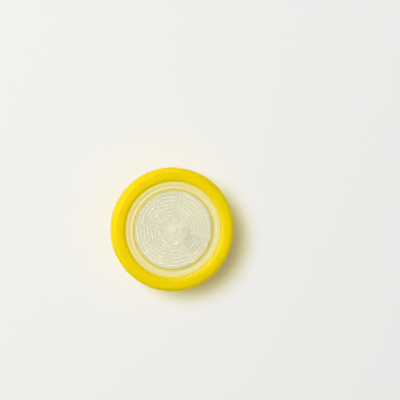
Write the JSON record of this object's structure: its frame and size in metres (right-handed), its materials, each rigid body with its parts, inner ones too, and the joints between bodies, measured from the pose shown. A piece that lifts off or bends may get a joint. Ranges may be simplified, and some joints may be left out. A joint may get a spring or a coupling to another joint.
{
  "type": "syringe filter",
  "caption": "Disposable round syringe filter: white membrane between two translucent ribbed housings in an overmoulded yellow ring, female luer-lock inlet, male luer outlet.",
  "frame": {"origin": "centre of the flat end face of the female luer-lock hub, which is the bottom of the filter as it stands", "axes": "+Z along the filter's axis from the inlet hub to the outlet nozzle; +X through the start of one luer lug and along one radial channel"},
  "size_m": [0.033, 0.033, 0.022],
  "materials": {
    "natural_polypropylene": "translucent natural polypropylene, injection moulded, smooth with a soft gloss",
    "white_membrane": "matt white microporous filter membrane",
    "yellow_polypropylene": "bright yellow polypropylene, overmoulded, glossy"
  },
  "bodies": {
    "root": {"inlet_housing": "natural_polypropylene", "outlet_housing": "natural_polypropylene", "membrane": "white_membrane", "overmould_ring": "yellow_polypropylene"}
  },
  "joints": []
}
